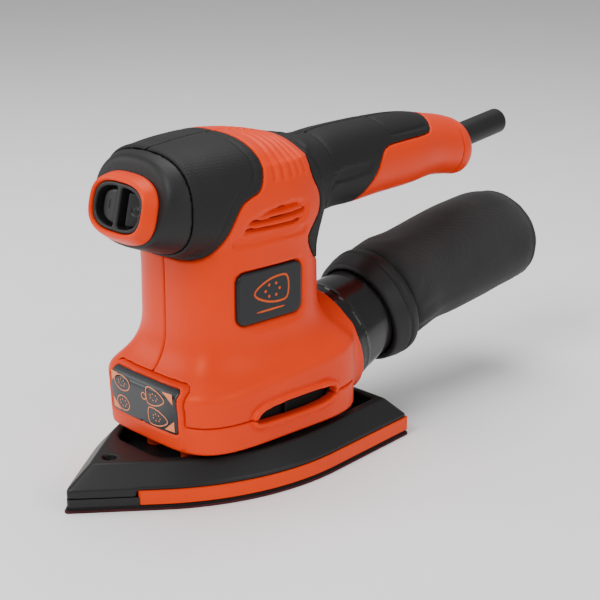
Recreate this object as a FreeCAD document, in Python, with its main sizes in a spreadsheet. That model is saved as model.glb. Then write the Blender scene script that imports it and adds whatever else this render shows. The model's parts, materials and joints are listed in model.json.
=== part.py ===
import FreeCAD, Part
import math
import os
from FreeCAD import Placement, Rotation, Vector

# Corded detail sander with an iron-shaped pad.
# Frame: +Z up, the pad's point towards -Y, origin where the motor axis meets the sanding face.

doc = FreeCAD.newDocument("MouseSander")

# ---------------------------------------------------------------- driving sizes

SIZES = {
    # iron-shaped pad outline
    "pad_half_width": 53.3, "pad_widest": 12.1, "pad_rear": 86.0, "tip_half_angle": 38.0,
    "rear_taper": 6.5, "side_radius": 119.3, "tip_round": 2.0, "corner_cut": 1.2,
    # pad layers, from the abrasive upwards
    "sheet_thick": 0.9, "hook_thick": 1.4, "hook_inset": 0.6, "sole_thick": 4.0, "sole_inset": 1.7,
    "tip_piece_inset": 0.9, "tip_piece_rear": 69.0, "platen_inset": 1.6, "platen_edge": 11.3,
    "platen_top": 20.0, "deck_inset": 9.6, "pocket_floor": 12.0, "pocket_inset": 15.0,
    "pocket_front": 54.0, "pocket_rear": 70.0, "band_low": 2.9, "band_tall": 6.6,
    "band_inset": 0.2, "hub_radius": 20.0, "hub_top": 31.0,
    "tip_hole_ahead": 70.0, "tip_hole_radius": 3.6, "tip_screw_top": 17.0,
    # orbit drive
    "orbit_throw": 0.8, "running_gap": 0.05, "shaft_radius": 4.0, "shaft_low": 38.0,
    "shaft_long": 113.8, "weight_radius": 24.0, "weight_hub": 11.0, "weight_low": 40.0,
    "weight_tall": 12.0, "pin_radius": 5.0, "pin_low": 22.0, "pin_tall": 16.0,
    "pad_bearing_radius": 13.0, "pad_bearing_low": 22.5, "pad_bearing_tall": 8.0,
    # motor
    "stator_radius": 29.0, "stator_bore": 18.4, "stator_low": 84.0, "stator_tall": 36.0,
    "armature_radius": 17.8, "coil_radius": 27.0, "coil_bore": 19.4, "coil_tall": 6.0,
    "fan_radius": 29.0, "fan_hub": 9.0, "fan_low": 68.0, "fan_tall": 8.0, "fan_blades": 12,
    "commutator_radius": 10.5, "commutator_low": 130.0, "commutator_tall": 11.0,
    "brush_height": 135.5, "brush_long": 15.0, "brush_wide": 6.0,
    "lower_bearing_radius": 14.0, "lower_bearing_tall": 8.0, "lower_bearing_low": 58.5,
    "upper_bearing_radius": 9.5, "upper_bearing_tall": 6.0, "upper_bearing_low": 146.0,
    "plate_low": 56.0, "plate_thick": 3.0, "plate_radius": 33.0,
    # housing
    "wall": 3.2, "skin": 1.6, "parting_height": 36.3,
    "slot_low": 33.4, "slot_tall": 7.6, "slot_front": -16.0, "slot_rear": 33.0, "baffle_aside": 36.6,
    "baffle_thick": 1.6, "rib_back": 3.5,
    "vent_low": 119.5, "vent_pitch": 4.4, "vent_tall": 2.2, "vent_front": -16.0,
    "vent_rear": 19.0, "vents": 4, "screw_radius": 2.0, "screw_head": 3.4, "screw_bite": 9.0,
    # switch on the nose
    "nose_tilt": 13.3, "nose_ahead": 61.0, "nose_height": 138.0, "bezel_half_width": 22.8,
    "bezel_half_tall": 15.8, "bezel_deep": 6.0, "window_half_width": 18.4,
    "window_half_tall": 11.6, "rocker_axis_deep": 12.0, "rocker_tilt": 6.0,
    # dust outlet and bag
    "port_back": 67.0, "port_height": 46.0, "port_rise": 15.0, "port_radius": 27.8,
    "port_wall": 3.0, "port_deep": 26.0, "tube_wall": 2.2, "tube_plug": 14.0, "tube_long": 40.0,
    "tube_end_radius": 25.0, "dust_floor": 22.8, "collar_start": 27.0,
    "slide_gap": 0.4, "panel_half_width": 27.6, "panel_top": 55.5,
    # handle end, cord guard, badge and label
    "guard_radius": 6.9, "guard_bore": 3.9, "guard_rise": 7.9, "guard_long": 45.5, "cap_start": 158.5,
    "guard_back": 160.0, "guard_height": 135.4, "badge_half_long": 18.6,
    "badge_half_tall": 12.8, "badge_back": 2.2, "badge_height": 92.0,
    "label_half_width": 25.0, "label_low": 31.5, "label_tall": 22.5, "nose_cap_ahead": 43.0,
}

sheet = doc.addObject("Spreadsheet::Sheet", "Sizes")
for row, (name, value) in enumerate(SIZES.items(), start=1):
    sheet.set("A%d" % row, name)
    sheet.set("B%d" % row, str(value))
    sheet.setAlias("B%d" % row, name)
doc.recompute()


def size(name):
    return float(sheet.get(name))


parts = {}


def keep(obj, label):
    """Name a finished sub-part; its label is its file name."""
    obj.Label = label
    parts[label] = obj
    return obj


def bind(obj, sizes):
    """Tie each property of an object to an expression over the sheet."""
    for prop, text in sizes.items():
        obj.setExpression(prop, text)
    return obj


def shaped(label, shape, place=None):
    """A sub-part whose free-form shape is worked out here."""
    obj = doc.addObject("Part::Feature", label)
    obj.Shape = shape
    obj.Placement = place or shape.Placement
    return keep(obj, label)


# ---------------------------------------------------------------- primitives and booleans

def cylinder(name, radius, height, low="0", across="0", along="0"):
    obj = doc.addObject("Part::Cylinder", name)
    return bind(obj, {"Radius": radius, "Height": height, "Placement.Base.z": low,
                      "Placement.Base.x": across, "Placement.Base.y": along})


def box(name, length, width, height, x, y, z):
    obj = doc.addObject("Part::Box", name)
    return bind(obj, {"Length": length, "Width": width, "Height": height,
                      "Placement.Base.x": x, "Placement.Base.y": y, "Placement.Base.z": z})


def cut(name, base, tool):
    obj = doc.addObject("Part::Cut", name)
    obj.Base = base
    obj.Tool = tool
    return obj


def fuse(name, pieces):
    obj = doc.addObject("Part::MultiFuse", name)
    obj.Shapes = pieces
    return obj


def ring(label, outer, inner, height, low, across="0", along="0"):
    """A plain ring about a vertical axis."""
    solid = cylinder(label + "_outside", outer, height, low, across, along)
    bore = cylinder(label + "_bore", inner, height, low, across, along)
    return cut(label + "_ring", solid, bore)


# ---------------------------------------------------------------- curves

def superellipse(half_a, half_b, power, place, count=28):
    """Closed smooth wire through points of a superellipse, put in space by place(a, b)."""
    points = []
    for step in range(count):
        turn = 2 * math.pi * step / count
        c = math.cos(turn)
        s = math.sin(turn)
        reach = (abs(c / half_a) ** power + abs(s / half_b) ** power) ** (-1 / power)
        points.append(place(reach * c, reach * s))
    # equal knots on every section keep the lofted surfaces light
    knots = [step / count for step in range(count + 1)]
    curve = Part.BSplineCurve()
    curve.interpolate(Points=points, PeriodicFlag=True, Parameters=knots)
    return Part.Wire([curve.toShape()])


def iron_curves(inset, z):
    """The pad's outline moved inwards by inset: straight nose, round sides, tapered rear."""
    nose = math.radians(size("tip_half_angle"))
    taper = math.radians(size("rear_taper"))
    radius = size("side_radius") - inset
    centre_x = size("pad_half_width") - size("side_radius")
    centre_y = size("pad_widest")
    rear = size("pad_rear") - inset
    corner = size("corner_cut")

    def on_side(turn):
        return centre_x + radius * math.cos(turn), centre_y + radius * math.sin(turn)

    nose_x, nose_y = on_side(-nose)
    back_x, back_y = on_side(taper)
    point_y = nose_y - nose_x / math.tan(nose)
    round_r = size("tip_round")
    round_y = point_y + round_r / math.sin(nose)
    tip_x = round_r * math.cos(nose)
    tip_y = round_y - round_r * math.sin(nose)
    corner_x = back_x - (rear - corner - back_y) * math.tan(taper)
    right = [(tip_x, tip_y), (nose_x, nose_y), (back_x, back_y), (corner_x, rear - corner),
             (corner_x - corner, rear)]

    def at(x, y):
        return Vector(x, y, z)

    def side(sign):
        p = [at(sign * x, y) for x, y in right]
        middle_x, middle_y = on_side((taper - nose) / 2)
        return [Part.LineSegment(p[0], p[1]), Part.Arc(p[1], at(sign * middle_x, middle_y), p[2]),
                Part.LineSegment(p[2], p[3]), Part.LineSegment(p[3], p[4])]

    curves = side(1) + [Part.LineSegment(at(right[4][0], rear), at(-right[4][0], rear))]
    curves += list(reversed(side(-1)))
    return curves + [Part.Arc(at(-tip_x, tip_y), at(0, round_y - round_r), at(tip_x, tip_y))]


def iron_wire(inset, z):
    return Part.Wire(Part.__sortEdges__([curve.toShape() for curve in iron_curves(inset, z)]))


def iron_slab(inset, low, high):
    """A flat layer of the pad."""
    return Part.Face(iron_wire(inset, low)).extrude(Vector(0, 0, high - low))


def sketched(label, plane_role, curves):
    """A body with one sketch of these curves on one of its own origin planes."""
    body = doc.addObject("PartDesign::Body", label)
    sketch = body.newObject("Sketcher::SketchObject", label + "_outline")
    plane = [item for item in body.Origin.OriginFeatures if item.Role == plane_role][0]
    sketch.AttachmentSupport = (plane, [""])
    sketch.MapMode = "FlatFace"
    for curve in curves:
        sketch.addGeometry(curve, False)
    return body, sketch


def padded_layer(label, inset, low, tall):
    """A pad layer: its outline sketched on the sanding face, padded up and lifted to its place."""
    body, sketch = sketched(label, "XY_Plane", iron_curves(inset, 0))
    pad = body.newObject("PartDesign::Pad", label + "_pad")
    pad.Profile = sketch
    pad.setExpression("Length", tall)
    body.setExpression("Placement.Base.z", low)
    body.Tip = pad
    return keep(body, label)


def space_box(x0, x1, y0, y1, z0, z1):
    return Part.makeBox(x1 - x0, y1 - y0, z1 - z0, Vector(x0, y0, z0))


# blocks that only divide space run this far past the machine
SIDE = 90.0
FRONT = -90.0
BACK = 260.0
TOP = 200.0


def prism_across(points):
    """A block that runs right across the machine, from a side-view outline of (y, z) corners."""
    loop = [Vector(-SIDE, y, z) for y, z in points]
    return Part.Face(Part.makePolygon(loop + loop[:1])).extrude(Vector(2 * SIDE, 0, 0))


# ---------------------------------------------------------------- housing surfaces

# skirt, shoulder and neck: height, half width, front, rear, squareness
TRUNK = [
    (23.0, 43.2, -48.3, 62.0, 4.2), (36.0, 43.6, -49.5, 62.5, 4.2), (49.0, 43.2, -50.0, 62.0, 4.0),
    (57.0, 40.5, -46.5, 58.0, 3.8), (65.0, 36.4, -38.5, 49.0, 3.4), (75.0, 34.6, -35.3, 45.4, 3.0),
    (100.0, 34.5, -35.0, 45.0, 3.0), (130.0, 34.8, -35.0, 43.5, 3.0), (150.0, 31.0, -31.0, 36.0, 2.8),
]
# head and handle: distance back, height of the middle, half width, half height, squareness
ARM = [
    (-66.0, 138.0, 16.0, 9.6, 2.5), (-59.0, 138.0, 20.4, 13.6, 2.5), (-54.5, 138.1, 24.4, 17.0, 2.5),
    (-50.0, 138.0, 28.2, 20.3, 2.5), (-43.0, 137.8, 32.0, 23.6, 2.5), (-33.0, 137.4, 34.8, 26.0, 2.5),
    (-18.0, 136.8, 36.3, 27.8, 2.6), (0.0, 136.0, 36.8, 28.8, 2.6), (18.0, 134.5, 35.4, 28.0, 2.5),
    (34.0, 134.0, 31.0, 24.6, 2.3), (48.0, 134.6, 25.0, 21.2, 2.1), (64.0, 136.4, 21.0, 20.8, 2.0),
    (80.0, 136.8, 20.4, 21.0, 2.0), (97.0, 137.5, 20.0, 20.5, 2.0), (125.0, 137.6, 19.0, 19.2, 2.0),
    (143.0, 136.8, 16.6, 16.8, 2.0), (157.0, 134.6, 15.7, 16.0, 2.0), (165.0, 132.6, 14.6, 15.0, 2.0),
    (171.0, 131.4, 11.0, 11.6, 2.0),
]


def trunk(inset):
    wires = []
    for height, half_width, front, rear, power in TRUNK:
        middle = (front + rear) / 2
        half_long = (rear - front) / 2
        wires.append(superellipse(half_width - inset, half_long - inset, power,
                                  lambda a, b: Vector(a, middle + b, height)))
    return Part.makeLoft(wires, True, False)


def arm(inset):
    wires = []
    for back, height, half_width, half_tall, power in ARM:
        wires.append(superellipse(half_width - inset, half_tall - inset, power,
                                  lambda a, b: Vector(a, back, height + b)))
    return Part.makeLoft(wires, True, False)


nose_turn = 90 - size("nose_tilt")
NOSE = Placement(Vector(0, -size("nose_ahead"), size("nose_height")),
                 Rotation(Vector(1, 0, 0), nose_turn))
PORT = Placement(Vector(0, size("port_back"), size("port_height")),
                 Rotation(Vector(1, 0, 0), size("port_rise") - 90))
GUARD = Placement(Vector(0, size("guard_back"), size("guard_height")),
                  Rotation(Vector(1, 0, 0), size("guard_rise") - 90))


def oval_prism(half_a, half_b, power, low, high, place):
    """A superellipse block in the local frame of a placement."""
    wire = superellipse(half_a, half_b, power, lambda a, b: Vector(a, b, low))
    solid = Part.Face(wire).extrude(Vector(0, 0, high - low))
    solid.Placement = place
    return solid


def round_prism(radius, low, high, place):
    solid = Part.makeCylinder(radius, high - low, Vector(0, 0, low))
    solid.Placement = place
    return solid


right_half = space_box(0, SIDE, FRONT, BACK, 0, TOP)
ahead_of_nose = oval_prism(SIDE, SIDE, 2, -size("bezel_deep"), SIDE, NOSE)
above_dust_floor = space_box(-SIDE, SIDE, 0, BACK, size("dust_floor"), TOP)

# the housing is symmetrical about X = 0, so one half is worked out and mirrored
outside = trunk(0).fuse(arm(0)).cut(ahead_of_nose).common(right_half)
under_skin = trunk(size("skin")).fuse(arm(size("skin"))).common(right_half)
inside = trunk(size("wall")).fuse(arm(size("wall"))).common(right_half)
# the skirt's inside runs straight down through its open underside
low_width, low_front, low_rear, low_power = TRUNK[0][1:]
low_middle = Vector(0, (low_front + low_rear) / 2, 0)
below_inside = oval_prism(low_width - size("wall"), (low_rear - low_front) / 2 - size("wall"), low_power,
                          low_front, TRUNK[0][0] + 7, Placement(low_middle, Rotation()))

# dust outlet: a boss on the skirt with a round bore that the tube plugs into
boss_radius = size("port_radius") + size("port_wall")
boss = round_prism(boss_radius, -size("port_deep"), 0, PORT).common(above_dust_floor)
boss = boss.common(right_half)
port_bore = round_prism(size("port_radius") + size("slide_gap"), -size("port_deep") - 20, 30, PORT)
port_bore = port_bore.common(space_box(-SIDE, SIDE, 0, BACK, size("dust_floor") - 1.6, TOP))

# screw posts run across the machine; the screws go in from the left and sit this deep
# distance back, height, distance of the seat from the centre plane
SCREWS = [(-27.0, 152.0, 21.0), (24.0, 153.0, 16.0), (46.0, 126.0, 15.0), (100.0, 123.0, 8.0),
          (148.0, 126.0, 7.0), (-41.5, 44.0, 27.0)]
post_radius = size("screw_radius") + 2.2
post_long = 60.0
head_tall = 2.4
well_long = 40.0
across = Vector(1, 0, 0)
posts = []
screw_holes = []
screws = []
for back, height, seat_depth in SCREWS:
    middle = Vector(0, back, height)
    seat = middle - across * seat_depth
    posts.append(Part.makeCylinder(post_radius, post_long, middle, across))
    shank = Part.makeCylinder(size("screw_radius"), seat_depth + size("screw_bite"), seat, across)
    head = Part.makeCylinder(size("screw_head"), head_tall, seat - across * head_tall, across)
    well = Part.makeCylinder(size("screw_head") + 0.2, well_long, seat - across * well_long, across)
    screws.append(shank.fuse(head))
    screw_holes.append(shank.fuse(well))
post_block = posts[0].multiFuse(posts[1:]).common(under_skin)
screw_ways = Part.makeCompound(screw_holes)

# openings: side slots in the skirt, louvres in the neck
slot_low = size("slot_low")
slot_top = slot_low + size("slot_tall")
slot_front = size("slot_front")
slot_rear = size("slot_rear")
slots = prism_across([
    (slot_front, slot_low + 3.2), (slot_front + 3.6, slot_top), (slot_rear - 1.4, slot_top + 0.4),
    (slot_rear, slot_low + 4.6), (slot_rear - 4.0, slot_low - 0.2), (slot_front + 1.0, slot_low),
])
vents = []
for step in range(int(size("vents"))):
    low = size("vent_low") + step * size("vent_pitch")
    vents.append(space_box(-SIDE, SIDE, size("vent_front") + step * 1.4, size("vent_rear") + step * 0.9,
                           low, low + size("vent_tall")))
openings = slots.multiFuse(vents)
guard_way = round_prism(size("guard_radius") + 0.1, 0, size("guard_long") + 20, GUARD)

# soft overmoulds: side-view outlines of the nose region, the rear grip and the handle's end
nose_region = prism_across([
    (-3, 172), (-3.5, 162), (-2, 155), (-4.3, 147), (-7, 142), (-13.2, 140.2), (-17.8, 137.7),
    (-22, 130.5), (-24.8, 122), (-27.8, 115.6), (-32, 111.6), (-36.5, 109.5), (-60, 100), (-90, 100),
    (-90, 172),
])
rear_region = prism_across([
    (30, 172), (29.3, 150), (28.7, 142.7), (32.6, 137.1), (34.2, 131.3), (33.2, 126.1), (30, 121.9),
    (26.4, 118.3), (25, 114), (28.4, 107.5), (36, 99), (72, 98), (79, 118), (84.4, 129), (88, 135.3),
    (90.2, 140.7), (93.2, 144.4), (99, 146), (126, 146.6), (131.3, 147.3), (133.6, 150), (137, 156),
    (136, 172),
])
end_cap_region = space_box(0, SIDE, size("cap_start"), BACK, 90, TOP)
nose_cap_region = space_box(0, SIDE, FRONT, -size("nose_cap_ahead"), 90, TOP)
skin_ways = Part.makeCompound([under_skin, guard_way])
nose_skin = outside.common(nose_region).cut(skin_ways)
rear_grip = outside.common(rear_region).cut(skin_ways)
end_cap = outside.common(end_cap_region).cut(skin_ways)
nose_cap = nose_skin.common(nose_cap_region)
nose_grip = nose_skin.cut(nose_cap_region)

# a baffle with a rib across it sits against the wall behind each side slot
baffle = space_box(size("baffle_aside"), SIDE, slot_front - 3, slot_rear + 3, slot_low - 3, slot_top + 3)
recess = slots.common(space_box(size("baffle_aside") + size("baffle_thick"), SIDE, FRONT, BACK, 0, TOP))
rib = space_box(0, SIDE, size("rib_back"), size("rib_back") + size("baffle_thick"), 0, TOP)
baffle = baffle.common(inside).cut(recess.cut(rib))

# raised front label and side badges sit in shallow seats
plate_depth = 0.9
half_trunk = trunk(0).common(right_half)
trunk_core = trunk(plate_depth)
label_zone = oval_prism(size("label_half_width"), size("label_tall") / 2, 6, 20, 90,
                        Placement(Vector(0, 0, size("label_low") + size("label_tall") / 2),
                                  Rotation(across, 90)))
badge_zone = oval_prism(size("badge_half_tall"), size("badge_half_long"), 6, 20, 60,
                        Placement(Vector(0, size("badge_back"), size("badge_height")),
                                  Rotation(Vector(0, 1, 0), 90)))
label = half_trunk.common(label_zone).cut(trunk_core)
badge = half_trunk.common(badge_zone).cut(trunk_core)

seats = Part.makeCompound([nose_cap, nose_grip, rear_grip, end_cap, label, badge])
dust_outlet = boss.cut(port_bore).cut(inside).cut(below_inside)
shell = outside.cut(inside).cut(below_inside).cut(boss).cut(port_bore)
shell = shell.fuse(post_block).cut(openings).cut(guard_way).cut(seats)
nose_way = oval_prism(size("window_half_width") + 0.3, size("window_half_tall") + 0.3, 2.6, -19, 10, NOSE)
shell = shell.cut(nose_way)
# the ring below the parting line runs up round the front label and stops at the dust boss
lower_zone = space_box(-SIDE, SIDE, FRONT, 52, 0, size("parting_height"))
front_panel = space_box(-size("panel_half_width"), size("panel_half_width"), FRONT, -38, 0, size("panel_top"))
lower_zone = lower_zone.fuse(front_panel)
skirt_right = shell.common(lower_zone)
shell_right = shell.cut(lower_zone)


def biggest(shape):
    """The main solid of a boolean result, without slivers left at its edges."""
    return max(shape.Solids, key=lambda solid: solid.Volume)


def mirrored(shape):
    return shape.mirror(Vector(0, 0, 0), across)


def both(shape):
    """A whole piece from its right half."""
    half = biggest(shape)
    return half.fuse(mirrored(half))


for label_name, half in (("housing", shell_right), ("nose_grip", nose_grip), ("rear_grip", rear_grip),
                         ("badge", badge)):
    half = biggest(half)
    shaped(label_name + "_right", half.cut(screw_ways) if label_name == "housing" else half)
    shaped(label_name + "_left", biggest(mirrored(half).cut(screw_ways)))
shaped("skirt_ring", biggest(both(skirt_right).cut(screw_ways)))
shaped("dust_outlet", both(dust_outlet))
shaped("nose_cap", both(nose_cap))
shaped("handle_end_cap", both(end_cap))
shaped("front_label", both(label))
shaped("housing_screws", Part.makeCompound(screws))
shaped("slot_baffle_right", biggest(baffle))
shaped("slot_baffle_left", mirrored(biggest(baffle)))

# ---------------------------------------------------------------- switch on the nose

bezel_a = size("bezel_half_width")
bezel_b = size("bezel_half_tall")
window_a = size("window_half_width")
window_b = size("window_half_tall")
bezel_rings = []
for inset, depth in ((0.0, -size("bezel_deep")), (0.2, -3.4), (2.6, 0.2)):
    bezel_rings.append(superellipse(bezel_a - inset, bezel_b - inset, 2.6, lambda a, b: Vector(a, b, depth)))
bezel = Part.makeLoft(bezel_rings, True, False)
bezel.Placement = NOSE
window = oval_prism(window_a, window_b, 2.6, -30, 10, NOSE)
shaped("switch_bezel", bezel.cut(window))


def in_nose(shape):
    """Move a piece drawn in the nose's own frame to its place."""
    shape.Placement = NOSE.multiply(shape.Placement)
    return shape


axis_deep = size("rocker_axis_deep")
frame_low = -8.4
frame_plate = oval_prism(window_a - 0.1, window_b - 0.1, 2.6, frame_low, -1.2, Placement())
lobe_windows = oval_prism(16.2, 9.6, 2.8, -12, 0, Placement())
divider = space_box(-1.5, 1.5, -SIDE, SIDE, -SIDE, SIDE)
lug_near = 7.4
lug_far = 9.4
pin_radius = 1.2
frame = frame_plate.cut(lobe_windows.cut(divider))
for sign in (-1, 1):
    ends = sorted((sign * lug_near, sign * lug_far))
    lug = space_box(-2.6, 2.6, ends[0], ends[1], -axis_deep - 3, frame_low + 0.2)
    frame = frame.fuse(lug)
pin = Part.makeCylinder(pin_radius, 2 * lug_far, Vector(0, -lug_far, -axis_deep), Vector(0, 1, 0))
frame = frame.cut(pin)
shaped("switch_frame", in_nose(frame))
shaped("rocker_pin", in_nose(pin))

rocker_gap = space_box(-4.0, 4.0, -SIDE, SIDE, -SIDE, SIDE)
lobes = oval_prism(14.0, 7.8, 2.8, -12, -2.6, Placement()).cut(rocker_gap)
bridge = space_box(-13.4, 13.4, -6, 6, -13.2, -11)
hub = Part.makeCylinder(3.0, 14.0, Vector(0, -7, -axis_deep), Vector(0, 1, 0))
pin_way = Part.makeCylinder(pin_radius + size("running_gap"), 2 * lug_far, Vector(0, -lug_far, -axis_deep),
                            Vector(0, 1, 0))
rocker = lobes.multiFuse([bridge, hub]).cut(pin_way)
rocker.rotate(Vector(0, 0, -axis_deep), Vector(0, 1, 0), size("rocker_tilt"))
shaped("switch_rocker", in_nose(rocker))
shaped("switch_body", in_nose(space_box(-8, 8, -8, 8, -35, -18)))

# ---------------------------------------------------------------- dust tube and bag

tube_long = size("tube_long")
end_radius = size("tube_end_radius")


def turned(profile, place):
    """A solid of revolution about a placement's own Z axis, from (radius, along) corners."""
    loop = [Vector(radius, 0, along) for radius, along in profile]
    solid = Part.Face(Part.makePolygon(loop + loop[:1])).revolve(Vector(), Vector(0, 0, 1), 360)
    solid.Placement = place
    return solid


def turned_body(label, profile, place):
    """A body whose sketched (radius, along) profile is revolved about its own vertical axis."""
    ends = [Vector(radius, along, 0) for radius, along in profile]
    lines = [Part.LineSegment(a, b) for a, b in zip(ends, ends[1:] + ends[:1])]
    body, sketch = sketched(label, "XZ_Plane", lines)
    turn = body.newObject("PartDesign::Revolution", label + "_turn")
    turn.Profile = sketch
    turn.ReferenceAxis = (sketch, ["V_Axis"])
    turn.Angle = 360.0
    body.Tip = turn
    body.Placement = place
    return body


tube_wall = size("tube_wall")
tube_line = [(size("port_radius"), -size("tube_plug")), (size("port_radius"), 3.0),
             (end_radius, tube_long * 0.6), (end_radius, tube_long)]
tube_inner = [(radius - tube_wall, along) for radius, along in reversed(tube_line)]
tube_core = [(0.0, -size("tube_plug"))] + tube_line + [(0.0, tube_long)]
tube_base = space_box(-SIDE, SIDE, 0, BACK, size("dust_floor"), size("dust_floor") + tube_wall)
tube = turned(tube_line + tube_inner, PORT).common(above_dust_floor)
tube = tube.fuse(turned(tube_core, PORT).common(tube_base))
shaped("dust_tube", tube)

# bag sections: distance back, height of the middle, half width, half height, upward tilt in degrees
BAG = [
    (108.6, 58.8, 30.0, 27.6, 15.0), (119.0, 62.6, 31.6, 28.8, 22.0), (131.0, 64.6, 29.6, 28.2, 14.0),
    (146.0, 66.4, 29.8, 29.0, 11.0), (166.0, 69.8, 31.0, 29.0, 12.0), (186.0, 73.2, 32.2, 28.6, 11.0),
    (202.0, 75.0, 32.0, 27.4, 6.0), (213.0, 75.4, 26.0, 21.4, 2.0), (216.5, 75.4, 14.0, 11.4, 0.0),
]


def bag_wire(back, height, half_width, half_tall, rise):
    place = Placement(Vector(0, back, height), Rotation(Vector(1, 0, 0), rise))
    wire = superellipse(half_width, half_tall, 2.1, lambda a, b: Vector(a, 0, b), 24)
    wire.Placement = place
    return wire


shaped("dust_bag", Part.makeLoft([bag_wire(*section) for section in BAG], True, False))

collar_start = size("collar_start")
collar_inner = end_radius + size("slide_gap")
collar_end = collar_start + 16
collar_line = [(collar_inner, collar_start), (end_radius + 3.6, collar_start),
               (end_radius + 6.2, collar_start + 8), (end_radius + 6.0, collar_end),
               (collar_inner, collar_end)]
keep(turned_body("bag_collar", collar_line, PORT), "bag_collar")

# ---------------------------------------------------------------- cord guard

guard_long = size("guard_long")
guard = round_prism(size("guard_radius"), 0, guard_long, GUARD)
past_half = size("guard_back") + guard_long / 2
free_end = [edge for edge in guard.Edges if edge.CenterOfMass.y > past_half and edge.Closed]
guard = guard.makeFillet(2.4, free_end)
guard = guard.cut(round_prism(size("guard_bore"), -1, guard_long + 1, GUARD))
shaped("cord_guard", guard)
keep(box("clamp_bar", "12", "5.6", "2.6", "-6", "Sizes.guard_back - 7.4", "Sizes.guard_height - 8"),
     "cord_clamp")

# ---------------------------------------------------------------- pad stack

sheet_top = size("sheet_thick")
hook_top = sheet_top + size("hook_thick")
sole_top = hook_top + size("sole_thick")
rear_of_tip = space_box(-SIDE, SIDE, -size("tip_piece_rear"), BACK, 0, TOP)
padded_layer("abrasive_sheet", 0.0, "0 mm", "Sizes.sheet_thick * 1 mm")
padded_layer("hook_pad", size("hook_inset"), "Sizes.sheet_thick * 1 mm", "Sizes.hook_thick * 1 mm")
shaped("pad_sole", iron_slab(size("sole_inset"), hook_top, sole_top).common(rear_of_tip))
shaped("detail_tip", iron_slab(size("tip_piece_inset"), hook_top, sole_top).cut(rear_of_tip))

band_low = size("band_low")
band_top = band_low + size("band_tall")
band = iron_slab(size("band_inset"), band_low, band_top).cut(iron_slab(size("sole_inset"), 0, TOP))
shaped("pad_band", band.common(rear_of_tip))

throw = size("orbit_throw")
platen = iron_slab(size("platen_inset") + 0.1, sole_top, size("platen_edge"))
top_wires = [iron_wire(size("platen_inset") + 0.1, size("platen_edge")),
             iron_wire(size("deck_inset"), size("platen_top"))]
platen = platen.fuse(Part.makeLoft(top_wires, True, True))
pocket = iron_slab(size("pocket_inset"), size("pocket_floor"), TOP)
pocket = pocket.common(space_box(-SIDE, SIDE, -size("pocket_front"), size("pocket_rear"), 0, TOP))
platen = platen.cut(pocket)
hub_place = Vector(0, -throw, 0)
hub_low = 8.0
through = 40.0
hub = Part.makeCylinder(size("hub_radius"), size("hub_top") - hub_low, hub_place + Vector(0, 0, hub_low))
seat_low = hub_place + Vector(0, 0, size("pad_bearing_low"))
bearing_seat = Part.makeCylinder(size("pad_bearing_radius"), through, seat_low)
pin_clear = Part.makeCylinder(9, through, hub_place + Vector(0, 0, 17))
tip_hole = Part.makeCylinder(size("tip_hole_radius"), through, Vector(0, -size("tip_hole_ahead"), 10))
platen = platen.fuse(hub).cut(bearing_seat).cut(pin_clear).cut(tip_hole)
shaped("platen", platen)


keep(ring("pad_bearing", "Sizes.pad_bearing_radius", "Sizes.pin_radius + Sizes.running_gap",
          "Sizes.pad_bearing_tall", "Sizes.pad_bearing_low", "0", "-Sizes.orbit_throw"), "pad_bearing")
keep(cylinder("tip_screw_body", "Sizes.tip_hole_radius - 0.4", "Sizes.tip_screw_top - 10.2",
              "10.1", "0", "-Sizes.tip_hole_ahead"), "tip_screw")

# ---------------------------------------------------------------- motor and drive

shaft = cylinder("shaft_rod", "Sizes.shaft_radius", "Sizes.shaft_long", "Sizes.shaft_low")
keep(shaft, "motor_shaft")

rotor_parts = fuse("armature_parts", [
    cylinder("armature_stack", "Sizes.armature_radius", "Sizes.stator_tall", "Sizes.stator_low"),
    cylinder("winding_low", "Sizes.armature_radius - 2.2", "Sizes.coil_tall",
             "Sizes.stator_low - Sizes.coil_tall"),
    cylinder("winding_top", "Sizes.armature_radius - 2.2", "Sizes.coil_tall",
             "Sizes.stator_low + Sizes.stator_tall"),
])
armature_way = cylinder("armature_way", "Sizes.shaft_radius", "Sizes.stator_tall + 4 * Sizes.coil_tall",
                        "Sizes.stator_low - 2 * Sizes.coil_tall")
keep(cut("armature_cut", rotor_parts, armature_way), "armature")
keep(ring("commutator", "Sizes.commutator_radius", "Sizes.shaft_radius", "Sizes.commutator_tall",
          "Sizes.commutator_low"), "commutator")

# fan: a hub and back disc with straight blades
fan_disc = cylinder("fan_disc", "Sizes.fan_radius", "1.6", "Sizes.fan_low + Sizes.fan_tall - 1.6")
fan_hub = cylinder("fan_hub_solid", "Sizes.fan_hub", "Sizes.fan_tall", "Sizes.fan_low")
blades = [fan_disc, fan_hub]
for step in range(int(size("fan_blades"))):
    blade = box("fan_blade_%d" % step, "Sizes.fan_radius - 9", "1.4", "Sizes.fan_tall", "0", "0", "0")
    turn = step * 360.0 / size("fan_blades")
    bind(blade, {"Placement.Base.x": "8 * cos(%s deg)" % turn, "Placement.Base.y": "8 * sin(%s deg)" % turn,
                 "Placement.Base.z": "Sizes.fan_low"})
    blade.Placement.Rotation = Rotation(Vector(0, 0, 1), turn)
    blades.append(blade)
fan_way = cylinder("fan_way", "Sizes.shaft_radius", "Sizes.fan_tall + 4", "Sizes.fan_low - 2")
keep(cut("fan_cut", fuse("fan_parts", blades), fan_way), "cooling_fan")

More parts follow.
